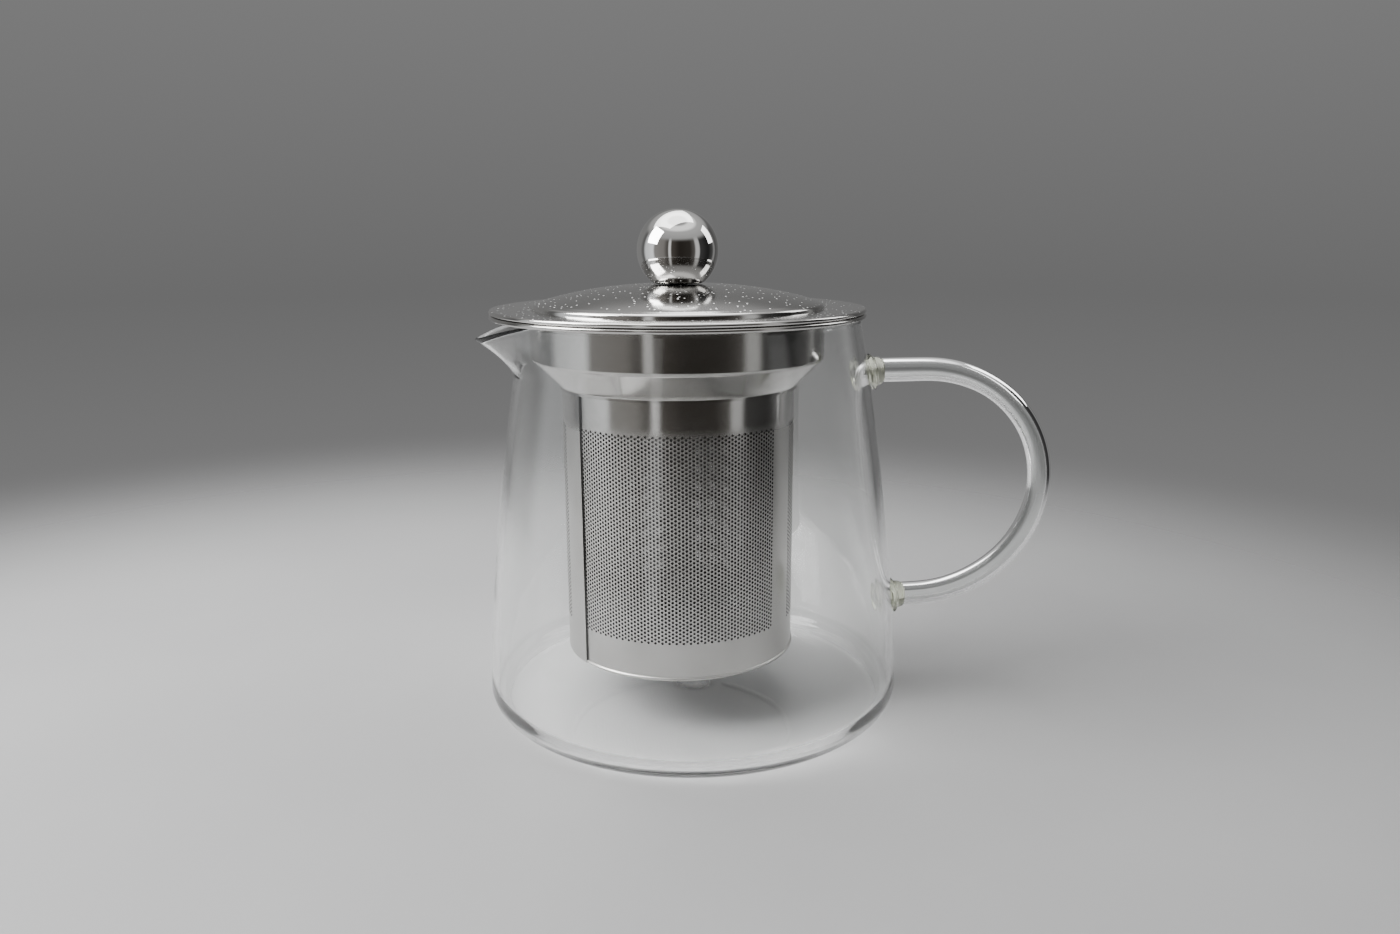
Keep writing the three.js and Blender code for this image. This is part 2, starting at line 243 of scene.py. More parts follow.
def held(path, reach=0.12 * MM, longest=1.5 * MM):
    """Adds points near the ends of long stretches, so that smooth shading keeps them straight."""
    points = [path[0]]
    for (r0, z0), (r1, z1) in zip(path, path[1:]):
        length = math.hypot(r1 - r0, z1 - z0)
        if length > 4 * reach:
            inner = np.linspace(reach, length - reach, max(2, math.ceil(length / longest)))
            points += [(r0 + (r1 - r0) * d / length, z0 + (z1 - z0) * d / length) for d in inner]
        points.append((r1, z1))
    return points


def curl(path, radius, turned, steps=14):
    """Rolls the end of a path that runs outwards down and under itself."""
    r, z = path[-1]
    return path + arc(r, z - radius, radius, 90, 90 - turned, steps)[1:]


def plate(path, thickness, tightest=0.3):
    """The closed outline of a sheet whose middle follows a path.

    tightest: the least cosine by which a corner's reach is divided, so that no corner spikes.
    """
    points = np.array(held(path))
    along = np.diff(points, axis=0)
    along /= np.linalg.norm(along, axis=1)[:, None]
    before = np.vstack([along[:1], along])
    after = np.vstack([along, along[-1:]])
    middle = before + after
    middle /= np.linalg.norm(middle, axis=1)[:, None]
    reach = thickness / 2 / np.maximum((middle * after).sum(1), tightest)
    left = np.column_stack([-middle[:, 1], middle[:, 0]]) * reach[:, None]
    return [*map(tuple, points - left), *map(tuple, (points + left)[::-1])]


def make_mesh(name, points, faces):
    mesh = bpy.data.meshes.new(name)
    mesh.from_pydata(points, [], faces)
    mesh.shade_smooth()
    mesh.set_sharp_from_angle(angle=SHARP_ANGLE)
    mesh.update()
    piece = bpy.data.objects.new(name, mesh)
    bpy.context.scene.collection.objects.link(piece)
    return piece


def revolve(profile, segments, loop=False, wobble=None):
    """Points and faces of a turned solid.

    The profile runs up the outside, with the material on its left. It starts and ends on the axis,
    or is a loop. wobble may change the radius round a ring.
    """
    turns = np.linspace(0, 2 * np.pi, segments, endpoint=False)
    points, rings = [], []
    for r, z in profile:
        if r < 1e-7:
            rings.append([len(points)] * segments)
            points.append((0.0, 0.0, z))
            continue
        rings.append(list(range(len(points), len(points) + segments)))
        radius = np.full(segments, r) if wobble is None else wobble(r, z, turns)
        points += zip(radius * np.cos(turns), radius * np.sin(turns), [z] * segments)
    faces = []
    pairs = list(zip(rings, rings[1:]))
    if loop:
        pairs.append((rings[-1], rings[0]))
    for lower, upper in pairs:
        if lower[0] == lower[1] and upper[0] == upper[1]:
            continue
        for j in range(segments):
            k = (j + 1) % segments
            corners = [lower[j], lower[k], upper[k], upper[j]]
            faces.append(list(dict.fromkeys(corners)))
    return np.array(points), faces


def turned(name, profile, segments=RING_SEGMENTS, loop=True, x=0.0):
    """A turned piece whose axis stands at x."""
    points, faces = revolve(profile, segments, loop)
    return make_mesh(name, points + (x, 0, 0), faces)


def finish_piece(piece, body, materials, node):
    """materials: one material, or a tuple of them in the order of the piece's slots."""
    for material in materials if isinstance(materials, tuple) else (materials,):
        piece.data.materials.append(material)
    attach(piece, body)
    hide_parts(node)


# ---------------------------------------------------------------- materials

class Graph:
    """A node tree, built by short calls."""

    def __init__(self, tree):
        self.tree = tree

    def node(self, kind, inputs=None, **settings):
        made = self.tree.nodes.new(kind)
        for key, value in settings.items():
            setattr(made, key, value)
        for key, value in (inputs or {}).items():
            self.put(made.inputs[key], value)
        return made

    def put(self, socket, value):
        if isinstance(value, bpy.types.NodeSocket):
            self.tree.links.new(value, socket)
        else:
            socket.default_value = value

    def math(self, operation, a, b=0.0):
        return self.node("ShaderNodeMath", {0: a, 1: b}, operation=operation).outputs[0]

    def vector_math(self, operation, a, b=(0, 0, 0)):
        return self.node("ShaderNodeVectorMath", {0: a, 1: b}, operation=operation).outputs

    def noise(self, vector, scale, detail):
        inputs = {"Vector": vector, "Scale": scale, "Detail": detail}
        return self.node("ShaderNodeTexNoise", inputs).outputs["Fac"]

    def span(self, value, low, high, to_low=0.0, to_high=1.0, **settings):
        inputs = {"Value": value, "From Min": low, "From Max": high}
        inputs |= {"To Min": to_low, "To Max": to_high}
        return self.node("ShaderNodeMapRange", inputs, **settings).outputs[0]

    def mix(self, factor, a, b):
        made = self.node("ShaderNodeMix", {"Factor": factor}, data_type="RGBA")
        colours = [s for s in made.inputs if s.type == "RGBA"]
        self.put(colours[0], a)
        self.put(colours[1], b)
        return next(s for s in made.outputs if s.type == "RGBA")

    def ramp(self, value, stops, interpolation="LINEAR"):
        """stops: (position, brightness, warmth) from one end of the ramp to the other."""
        made = self.node("ShaderNodeValToRGB", {0: value})
        made.color_ramp.interpolation = interpolation
        elements = made.color_ramp.elements
        while len(elements) < len(stops):
            elements.new(0.5)
        for element, (position, level, warmth) in zip(elements, stops):
            element.position = position
            element.color = (level * (1 + warmth), level, level * (1 - warmth), 1)
        return made.outputs[0]

    def axes(self, vector):
        return self.node("ShaderNodeSeparateXYZ", {0: vector}).outputs

    def place(self, x=0.0):
        """The point on the piece, measured from an upright axis at x."""
        coordinates = self.node("ShaderNodeTexCoord").outputs["Object"]
        return self.vector_math("SUBTRACT", coordinates, (x, 0, 0))[0]

    def round_place(self, x, ring_scale, turn_scale):
        """Coordinates that change fast across the rings about that axis and slowly along them."""
        across, away, up = self.axes(self.place(x))
        squares = [self.math("POWER", part, 2.0) for part in (across, away)]
        radius = self.math("SQRT", self.math("ADD", *squares))
        inputs = {
            0: self.math("MULTIPLY", radius, ring_scale),
            1: self.math("MULTIPLY", self.math("ARCTAN2", away, across), turn_scale),
            2: self.math("MULTIPLY", up, ring_scale),
        }
        return self.node("ShaderNodeCombineXYZ", inputs).outputs[0]

    def bump(self, height, distance):
        inputs = {"Height": height, "Distance": distance, "Strength": 1.0}
        return self.node("ShaderNodeBump", inputs).outputs[0]


class Material(Graph):
    """A material's node tree, round its main shader."""

    def __init__(self, name):
        self.material = bpy.data.materials.new(name)
        self.material.use_nodes = True
        super().__init__(self.material.node_tree)
        self.shader = self.tree.nodes["Principled BSDF"]

    def set(self, **sockets):
        for key, value in sockets.items():
            self.put(self.shader.inputs[key.replace("_", " ")], value)


def water_spots(g, place):
    """1 inside the dried spots on the faces that look up, and 0 elsewhere."""
    inputs = {"Vector": place, "Scale": SPOT_SCALE, "Randomness": 1.0}
    cells = g.node("ShaderNodeTexVoronoi", inputs).outputs
    chance = g.node("ShaderNodeSeparateColor", {0: cells["Color"]}).outputs[0]
    dot = g.span(cells["Distance"], *SPOT_RADIUS, 1.0, 0.0)
    dot = g.math("MULTIPLY", dot, g.span(chance, *SPOT_CHANCE))
    upward = g.axes(g.node("ShaderNodeNewGeometry").outputs["True Normal"])[2]
    return g.math("MULTIPLY", dot, g.span(upward, *SPOTS_LIE_ABOVE))


def steel(name, colour, stain, roughness, line_depth, smudge,
          spots=0.0, anisotropy=0.0, polished_above=None):
    """Stainless steel with fine turned lines and faint smudges, and two things where asked for.

    spots: the height of dried water spots, against that of the lines.
    polished_above: the height above which a satin wall is polished.
    """
    g = Material(name)
    place = g.place(SEAT_X)
    lines = g.noise(g.round_place(SEAT_X, *FINE_LINES), 1.0, 4.0)
    coarse_lines = g.noise(g.round_place(SEAT_X, *COARSE_LINES), 1.0, 2.0)
    smudged = g.span(g.noise(place, SMUDGE_SCALE, 3.0), 0.42, 0.72)
    rough = g.math(
        "ADD",
        g.span(lines, 0.3, 0.7, roughness * (1 - LINE_ROUGHNESS), roughness * (1 + LINE_ROUGHNESS)),
        g.math("MULTIPLY", smudged, smudge),
    )
    height = g.math("ADD", g.math("MULTIPLY", lines, 1 - COARSE_SHARE),
                    g.math("MULTIPLY", coarse_lines, COARSE_SHARE))
    if polished_above is not None:
        low, high = polished_above - POLISH_BLEND, polished_above + POLISH_BLEND
        share = g.span(g.axes(place)[2], low, high, 1.0, POLISH_SHARE)
        rough = g.math("MULTIPLY", rough, share)
        height = g.math("MULTIPLY", height, g.math("POWER", share, 3.0))
    body_colour = g.mix(smudged, (*colour, 1), (*stain, 1))
    if spots:
        dot = water_spots(g, place)
        rough = g.math("ADD", rough, g.math("MULTIPLY", dot, SPOT_ROUGHNESS))
        height = g.math("ADD", height, g.math("MULTIPLY", dot, spots))
        body_colour = g.mix(dot, body_colour, SPOT_COLOUR)
    g.set(Base_Color=body_colour, Roughness=rough, Normal=g.bump(height, line_depth),
          Metallic=1.0, Anisotropic=anisotropy)
    if anisotropy:
        tangent = g.node("ShaderNodeTangent", direction_type="RADIAL", axis="Z").outputs[0]
        g.set(Tangent=tangent)
    return g.material


def glass(name, colour, film_colour, wave, wave_scale, haze, scuffed=0.0):
    """Clear borosilicate: faint waves from the flame and a little dried water film.

    scuffed: the roughness of its underside, where it has stood on tables.
    """
    g = Material(name)
    place = g.place()
    waves = g.noise(place, wave_scale, 1.0)
    film = g.noise(place, FILM_SCALE, 5.0)
    rough = g.span(film, 0.45, 0.75, 0.0, haze)
    if scuffed:
        rough = g.math("ADD", rough, g.span(g.axes(place)[2], *SCUFF_HEIGHT, scuffed, 0.0))
    g.set(Base_Color=g.mix(g.span(film, 0.4, 0.7), (*colour, 1), (*film_colour, 1)),
          Roughness=rough, Normal=g.bump(waves, wave), IOR=GLASS_IOR, Transmission_Weight=1.0)
    return g.material


# ---------------------------------------------------------------- jug and handle

def jug_radius(z):
    return BASE_RADIUS - (BASE_RADIUS - MOUTH_RADIUS) * (z / RIM_HEIGHT) ** WALL_CURVE


def jug_lean(z):
    step = 0.5 * MM
    return math.atan2(jug_radius(z + step) - jug_radius(z - step), 2 * step)


def jug_profile():
    bead = WALL / 2
    inner_corner = FLOOR + INNER_CORNER
    heights = np.concatenate([
        np.linspace(inner_corner + 2 * MM, SPOUT_ROOT, 30),
        np.linspace(SPOUT_ROOT, RIM_HEIGHT - 1.6 * MM, 26)[1:],
    ])
    outer = [(jug_radius(z), z) for z in heights]
    inner = [(jug_radius(z) - WALL, z) for z in heights[::-1]]
    foot_radius = jug_radius(FOOT_CORNER) - FOOT_CORNER
    inner_radius = jug_radius(inner_corner) - WALL - INNER_CORNER
    punt = [(PUNT_RADIUS * s, FLOOR + PUNT_HEIGHT * math.cos(s * math.pi / 2) ** 2)
            for s in np.linspace(1, 0, 14)]
    underside = [(0, 0.5 * MM), (6 * MM, 0.45 * MM), (14 * MM, 0.1 * MM), (17 * MM, 0.0)]
    return [
        *underside,
        *arc(foot_radius, FOOT_CORNER, FOOT_CORNER, -90, 0, 16),
        *outer,
        *arc(MOUTH_RADIUS - bead, RIM_HEIGHT - bead, bead, 0, 180, 12),
        *inner,
        *arc(inner_radius, inner_corner, INNER_CORNER, 0, -90, 14),
        (inner_radius * 0.7, FLOOR),
        (inner_radius * 0.4, FLOOR),
        *punt,
    ]


def pull_spout(points):
    """Pulls the rim out and down around -X, fading out sideways and down the wall."""
    x, y, z = points.T
    radius = np.hypot(x, y)
    away = np.arctan2(y, -x)
    side = np.hypot(away, SPOUT_TIP_ROUNDING) - SPOUT_TIP_ROUNDING
    rise = np.clip((z - SPOUT_ROOT) / (RIM_HEIGHT - SPOUT_ROOT), 0, 1)
    spread = np.clip(1 - side / SPOUT_HALF_ANGLE, 0, 1) ** SPOUT_SHARPNESS
    pull = np.where(radius > MOUTH_RADIUS / 2, spread * rise ** SPOUT_BEND, 0)
    scale = 1 + SPOUT_REACH * pull / np.maximum(radius, MM)
    return np.column_stack([x * scale, y * scale, z - SPOUT_DIP * pull])


def make_jug(material):
    points, faces = revolve(jug_profile(), JUG_SEGMENTS)
    jug = make_mesh("jug_glass", pull_spout(points), faces)
    jug.visible_shadow = False  # clear glass lets the light through
    finish_piece(jug, "jug", material, "glass_body")


def weld_place(rod_height):
    """Where a weld stands on the wall, and the direction in which it points."""
    lean = jug_lean(rod_height)
    z = rod_height + WELD_LENGTH * math.sin(lean)
    start = Vector((jug_radius(z) + WELD_GAP, 0, z))
    return start, Vector((math.cos(lean), 0, -math.sin(lean)))


def weld_profile():
    """Neck, thin flared disc, and a collar round the rod's end."""
    return [(0, 0), *((r * MM, z * MM) for r, z in WELD_PROFILE), (0, WELD_LENGTH)]


def make_weld(name, node, rod_height, phase, material):
    """phase: where round the weld its unevenness starts, so that no two are alike."""
    def wobble(r, z, turns):
        return r * (1 + 0.008 * np.sin(3 * turns + phase) + 0.004 * np.sin(5 * turns + z * 900))

    start, direction = weld_place(rod_height)
    points, faces = revolve(weld_profile(), SMALL_SEGMENTS, wobble=wobble)
    turn = np.array(direction.to_track_quat("Z", "Y").to_matrix())
    weld = make_mesh(name, points @ turn.T + np.array(start), faces)
    finish_piece(weld, "jug", material, node)


def handle_path(count):
    """The rod's centre line from the upper weld to the lower one, evenly spaced."""
    top = HANDLE_CENTRE + HANDLE_HALF_HEIGHT
    bottom = HANDLE_CENTRE - HANDLE_HALF_HEIGHT
    ends = []
    for height in (top, bottom):
        start, direction = weld_place(height)
        ends.append(start + direction * (WELD_LENGTH + WELD_GAP))
    bend = [
        (HANDLE_X + HANDLE_REACH * math.sin(a), HANDLE_CENTRE + HANDLE_HALF_HEIGHT * math.cos(a))
        for a in np.linspace(0, math.pi, 120)
    ]
    line = np.array([(ends[0].x, ends[0].z), *bend, (ends[1].x, ends[1].z)])
    length = np.concatenate([[0], np.cumsum(np.linalg.norm(np.diff(line, axis=0), axis=1))])
    even = np.linspace(0, length[-1], count)
    return np.column_stack([np.interp(even, length, side) for side in line.T])


def make_rod(material):
    """The bent rod: a little thinner and flatter through its bend, as hot glass draws out."""
    count, sides = ROD_RINGS, ROD_SIDES
    path = handle_path(count)
    for _ in range(ROD_SMOOTHINGS):
        path[1:-1] = (path[:-2] + 2 * path[1:-1] + path[2:]) / 4
    along = np.gradient(path, axis=0)
    along /= np.linalg.norm(along, axis=1)[:, None]
    points, faces = [], []
    turns = np.linspace(0, 2 * np.pi, sides, endpoint=False)
    for i, ((x, z), (dx, dz)) in enumerate(zip(path, along)):
        share = i / (count - 1)
        bend = math.sin(math.pi * share) ** 2
        uneven = 0.010 * math.sin(17 * share) + 0.006 * math.sin(41 * share)
        radius = ROD_RADIUS * (1 - 0.03 * bend + uneven)
        in_plane = radius * (1 - 0.02 * bend) * np.cos(turns)
        across = radius * (1 + 0.02 * bend) * np.sin(turns)
        points += zip(x - dz * in_plane, across, z + dx * in_plane)
    for i in range(count - 1):
        for j in range(sides):
            k = (j + 1) % sides
            faces.append([i * sides + j, i * sides + k, (i + 1) * sides + k, (i + 1) * sides + j])
    faces.append(list(range(sides))[::-1])
    faces.append([(count - 1) * sides + j for j in range(sides)])
    rod = make_mesh("rod_glass", points, faces)
    finish_piece(rod, "jug", material, "handle_rod")


# ---------------------------------------------------------------- infuser

class Pattern:
    """Flat polygons in (along, up) that share their corners, to be bent and given a thickness."""

    def __init__(self):
        self.points = []
        self.places = {}  # which point stands at a rounded place
        self.faces = []
        self.inner_places = {}  # where a point stands on the back of the sheet, if elsewhere

    def corner(self, point):
        key = (round(point[0] / (0.001 * MM)), round(point[1] / (0.001 * MM)))
        if key not in self.places:
            self.places[key] = len(self.points)
            self.points.append(point)
        return self.places[key]

    def face(self, *corners):
        self.faces.append([self.corner(c) for c in corners])

    def plain_cell(self, left, right, low, high):
        self.face((left, low), (right, low), (right, high), (left, high))

    def holed_cell(self, along, up):
        """A cell with a hole, and a corner half way up each side for the next column to meet."""
        left, right = along - COLUMN / 2, along + COLUMN / 2
        low, high = up - PITCH / 2, up + PITCH / 2
        turns = [2 * math.pi * i / HOLE_SIDES for i in range(HOLE_SIDES)]
        hole = [(along + HOLE_RADIUS * math.cos(t), up + HOLE_RADIUS * math.sin(t)) for t in turns]
        for point, t in zip(hole, turns):
            inner = (along + HOLE_INNER_RADIUS * math.cos(t), up + HOLE_INNER_RADIUS * math.sin(t))
            self.inner_places[self.corner(point)] = inner
        self.face((right, up), (right, high), hole[1], hole[0])
        self.face((right, high), (left, high), hole[3], hole[2], hole[1])
        self.face((left, high), (left, up), hole[4], hole[3])
        self.face((left, up), (left, low), hole[5], hole[4])
        self.face((left, low), (right, low), hole[7], hole[6], hole[5])
        self.face((right, low), (right, up), hole[0], hole[7])

    def solid(self, name, front, back):
        """Closes the pattern between its two bent faces.

        Its material slots are the front of the sheet, the back, and the edges.
        """
        flat = np.array(self.points)
        count = len(flat)
        inner_flat = flat.copy()
        for i, point in self.inner_places.items():
            inner_flat[i] = point
        faces = self.faces + [[i + count for i in reversed(face)] for face in self.faces]
        sheet = len(self.faces)
        sides = [(a, b) for face in self.faces for a, b in zip(face, face[1:] + face[:1])]
        known = set(sides)
        faces += [[b, a, a + count, b + count] for a, b in sides if (b, a) not in known]
        piece = make_mesh(name, np.concatenate([front(flat), back(inner_flat)]), faces)
        slots = [0] * sheet + [1] * sheet + [2] * (len(faces) - 2 * sheet)
        piece.data.polygons.foreach_set("material_index", slots)
        return piece


def wall_pattern(margin_left, margin_right):
    """One third of the basket's wall: a perforated panel inside plain margins, in columns."""
    pattern = Pattern()
    half = COLUMNS * COLUMN / 2
    below = np.linspace(WALL_LOW.z + 0.2 * MM, HOLES_BOTTOM, 4)
    above = np.linspace(HOLES_TOP, WALL_HIGH.z, 4)
    beside = HOLES_BOTTOM + np.arange(2 * ROWS + 1) * PITCH / 2

    def column(left, right, levels):
        for low, high in zip(levels, levels[1:]):
            pattern.plain_cell(left, right, low, high)

    def margin(start, end):
        edges = np.linspace(start, end, max(2, round((end - start) / COLUMN)) + 1)
        for left, right in zip(edges, edges[1:]):
            for levels in (below, beside, above):
                column(left, right, levels)

    margin(-half - margin_left * BASKET_RADIUS, -half)
    for i in range(COLUMNS):
        left = i * COLUMN - half
        right = (i + 1) * COLUMN - half
        staggered = i % 2
        column(left, right, below)
        column(left, right, above)
        if staggered:
            pattern.plain_cell(left, right, HOLES_BOTTOM, HOLES_BOTTOM + PITCH / 2)
            pattern.plain_cell(left, right, HOLES_TOP - PITCH / 2, HOLES_TOP)
        for j in range(ROWS - staggered):
            up = HOLES_BOTTOM + (j + (1 + staggered) / 2) * PITCH
            pattern.holed_cell((left + right) / 2, up)
    margin(half, half + margin_right * BASKET_RADIUS)
    return pattern


def make_wall_third(name, centre, margin_left, margin_right, lapped, material):
    """lapped: the right-hand end rises to lie over the next third's left-hand end."""
    def layer(depth):
        def bend(flat):
            turned_by = flat[:, 0] / BASKET_RADIUS
            radius = np.full(len(flat), BASKET_RADIUS - depth)
            if lapped:
                rise = np.clip(turned_by / (PANEL_ANGLE / 2), 0, 1)
                radius += LAP_STEP * rise * rise * (3 - 2 * rise)
            angle = centre + turned_by
            x, y = SEAT_X + radius * np.cos(angle), radius * np.sin(angle)
            return np.column_stack([x, y, flat[:, 1]])
        return bend

    pattern = wall_pattern(margin_left, margin_right)
    piece = pattern.solid(name, layer(0), layer(BASKET_SHEET))
    finish_piece(piece, "infuser", material, "basket_wall")


def make_basket_wall(material):
    front = math.radians(-90) + SEAT_TURN
    half_strip = STRIP_ANGLE / 2
    make_wall_third("wall_front", front, STRIP_ANGLE, half_strip, False, material)
    make_wall_third("wall_right", front + THIRD, half_strip, half_strip, False, material)
    make_wall_third("wall_left", front + 2 * THIRD, half_strip, STRIP_ANGLE, True, material)


def make_basket_base(material, disc_materials):
    """A perforated disc on a ring that is crimped round the bottom of the wall."""
    level = WALL_LOW.z + 1.3 * MM
    pattern = Pattern()
    reach = BASKET_RADIUS - 4.6 * MM
    across = int(reach / COLUMN) + 1
    upward = int(reach / PITCH) + 1
    for i in range(-across, across + 1):
        for j in range(-upward, upward + 1):
            x, y = i * COLUMN, (j + (i % 2) / 2) * PITCH
            if math.hypot(x, y) < reach:
                pattern.holed_cell(x, y)

    def face(height):
        return lambda flat: np.column_stack([flat + (SEAT_X, 0), np.full(len(flat), height)])

    disc = pattern.solid("base_disc", face(level), face(level - BASKET_SHEET))
    finish_piece(disc, "infuser", disc_materials, "basket_base")

    inside = BASKET_RADIUS - BASKET_SHEET - BASE_RING_SHEET
    path = rounded_path([
        (reach - 2.2 * MM, level + 0.25 * MM, 0),
        (inside, level + 0.25 * MM, 0.5 * MM),
        (inside, level + 2.4 * MM, 0),
    ])
    ring = turned("base_ring", plate(path, BASE_RING_SHEET), x=SEAT_X)
    finish_piece(ring, "infuser", material, "basket_base")
    crimp_r = BASKET_RADIUS - BASKET_SHEET / 2 + 0.1 * MM
    outline = arc(crimp_r, WALL_LOW.z + CRIMP_RADIUS, CRIMP_RADIUS, 0, 345, 23)
    crimp = turned("base_crimp", outline, x=SEAT_X)
    finish_piece(crimp, "infuser", material, "basket_base")


def make_collar(material):
    """Flange with a rolled edge, band and cone, pressed from one sheet."""
    middle = SHEET / 2
    top = COLLAR_HIGH.z - middle
    roll = BEAD - middle
    path = rounded_path([
        (LIP_RADIUS - middle, LIP_BOTTOM, 0),
        (LIP_RADIUS - middle, LIP_TOP, 0.5 * MM),
        (BAND_RADIUS - middle, BAND_BOTTOM, 1.2 * MM),
        (BAND_RADIUS - middle, top, 1.4 * MM),
        (FLANGE_RADIUS - 3.4 * MM, top, 2 * MM),
        (FLANGE_RADIUS - BEAD - 0.5 * MM, top - 0.32 * MM, 1 * MM),
        (FLANGE_RADIUS - BEAD, top - 0.32 * MM, 0),
    ])
    collar = turned("collar", plate(curl(path, roll, ROLL_TURN), SHEET), x=SEAT_X)
    finish_piece(collar, "infuser", material, "infuser_collar")


# ---------------------------------------------------------------- lid and knob

def dome_height(r):
    return DOME_HEIGHT - DOME_DROP * (r / DOME_RADIUS) ** DOME_CURVE


def make_lid_shell(material):
    """A dome, a crisp crease round its foot, and a flat flange with a rolled edge."""
    middle = SHEET / 2
    radii = np.linspace(SCREW_HOLE, DOME_RADIUS, 48)
    dome = [(r, LID_TOP + dome_height(r) - middle) for r in radii]
    foot = rounded_path([
        (*dome[-1], 0),
        (SHOULDER_RADIUS - 0.45 * MM, dome[-1][1] - 0.55 * MM, 0.5 * MM),
        (SHOULDER_RADIUS - 0.25 * MM, LID_TOP - 0.3 * MM - middle, 0.25 * MM),
        (SHOULDER_RADIUS + 1.2 * MM, LID_TOP - middle, 0.6 * MM),
        (FLANGE_RADIUS - BEAD, LID_TOP - middle, 0),
    ])
    path = curl(dome[:-1] + foot, BEAD - middle, ROLL_TURN)
    shell = turned("lid_dome", plate(path, SHEET), x=SEAT_X)
    finish_piece(shell, "lid", material, "lid_shell")


def make_skirt(material):
    middle = SKIRT_SHEET / 2
    radius = (SKIRT_HIGH.x - SKIRT_LOW.x) / 2 - middle
    path = rounded_path([
        (radius - 3 * MM, SKIRT_HIGH.z - middle, 0),
        (radius, SKIRT_HIGH.z - middle, 0.8 * MM),
        (radius, SKIRT_LOW.z + 1.2 * MM, 0.6 * MM),
        (radius - 0.35 * MM, SKIRT_LOW.z, 0),
    ])
    skirt = turned("lid_locating_skirt", plate(path, SKIRT_SHEET), x=SEAT_X)
    finish_piece(skirt, "lid", material, "lid_skirt")


def ball_arc(radius, flat, steps):
    """The side of a ball that is cut flat at a height, from the flat up to the top."""
    low = math.degrees(math.asin((flat - BALL_CENTRE) / radius))
    return arc(0, BALL_CENTRE, radius, low, 90, steps)


def make_ball(material):
    outside = ball_arc(BALL_RADIUS, BALL_FOOT, 64)
    inside = ball_arc(BALL_RADIUS - BALL_WALL, BALL_FOOT + BALL_WALL, 32)[::-1]
    rim, _ = outside[0]
    soft_edge = [(rim - 0.25 * MM, BALL_FOOT), (rim - 0.05 * MM, BALL_FOOT + 0.06 * MM)]
    outside[-1] = (0, outside[-1][1])
    inside[0] = (0, inside[0][1])
    profile = [
        (SCREW_HOLE, BALL_FOOT),
        *soft_edge,
        *outside[1:],
        *inside,
        (SCREW_HOLE, BALL_FOOT + BALL_WALL),
    ]
    ball = turned("knob_ball_shell", profile, 128, x=SEAT_X)
    finish_piece(ball, "lid", material, "knob_ball")


def make_insert(material):
    bore, radius = 2.15 * MM, (INSERT_HIGH.x - INSERT_LOW.x) / 2
    low, high, edge = INSERT_LOW.z, INSERT_HIGH.z, 0.4 * MM
    profile = [
        (bore, low), (radius, low), (radius, high - edge), (radius - edge, high), (bore, high),
    ]
    insert = turned("knob_threaded_insert", profile, SMALL_SEGMENTS, x=SEAT_X)
    finish_piece(insert, "lid", material, "knob_insert")


def make_washer(material):
    bore, radius = SCREW_HOLE, (WASHER_HIGH.x - WASHER_LOW.x) / 2
    low, high, edge = WASHER_LOW.z, WASHER_HIGH.z, 0.15 * MM
    profile = [
        (bore, low), (radius - edge, low), (radius, low + edge), (radius, high), (bore, high),
    ]
    washer = turned("knob_spring_washer", profile, SMALL_SEGMENTS, x=SEAT_X)
    finish_piece(washer, "lid", material, "knob_washer")


def make_screw(material):
    """A pan head screw with a rolled thread on its shank and a cross recess in its head."""
    head_radius = (SCREW_HIGH.x - SCREW_LOW.x) / 2
    low, high = SCREW_LOW.z, SCREW_HIGH.z
    seat, crown = low + 2 * MM, 1.1 * MM
    shank, thread, lead = 1.7 * MM, 0.22 * MM, 0.7 * MM
    profile = [(0, low)]
    profile += [(head_radius * math.sin(a), low + crown * (1 - math.cos(a)))
                for a in np.linspace(0.15, math.pi / 2, 10)]
    profile += [(head_radius, seat - 0.2 * MM), (head_radius - 0.2 * MM, seat), (shank, seat)]
    z = seat + 0.4 * MM
    while z < high - 2 * lead:
        profile += [(shank, z), (shank + thread, z + lead * 0.4), (shank, z + lead * 0.8)]
        z += lead
    profile += [(shank, high - 0.6 * MM), (shank - 0.5 * MM, high), (0, high)]
    screw = turned("knob_pan_screw", profile, SMALL_SEGMENTS, loop=False, x=SEAT_X)
    for turn in (0, math.pi / 2):
        cut_slot(screw, turn)
    finish_piece(screw, "lid", material, "knob_screw")


def cut_slot(screw, turn):
    """Cuts one arm of the cross recess: a tapered bar sunk into the head from below."""
    long, wide, deep = 2.1 * MM, 0.42 * MM, 1.1 * MM
    low, high = SCREW_LOW.z - 0.5 * MM, SCREW_LOW.z + deep
    corners = []
    for z, share in ((low, 1.0), (high, 0.45)):
        for x, y in ((-1, -1), (1, -1), (1, 1), (-1, 1)):
            corners.append(Vector((x * long * share, y * wide * share, z)))
    spin = Matrix.Translation((SEAT_X, 0, 0)) @ Matrix.Rotation(turn, 4, "Z")
    faces = [(3, 2, 1, 0), (4, 5, 6, 7), (0, 1, 5, 4), (1, 2, 6, 5), (2, 3, 7, 6), (3, 0, 4, 7)]
    cutter = make_mesh("slot_cutter", [tuple(spin @ c) for c in corners], faces)
    cut = screw.modifiers.new("slot", "BOOLEAN")
    cut.operation, cut.object, cut.solver = "DIFFERENCE", cutter, "EXACT"
    graph = bpy.context.evaluated_depsgraph_get()
    mesh = bpy.data.meshes.new_from_object(screw.evaluated_get(graph))
    screw.modifiers.clear()
    screw.data = mesh
    bpy.data.objects.remove(cutter)


# ---------------------------------------------------------------- stage

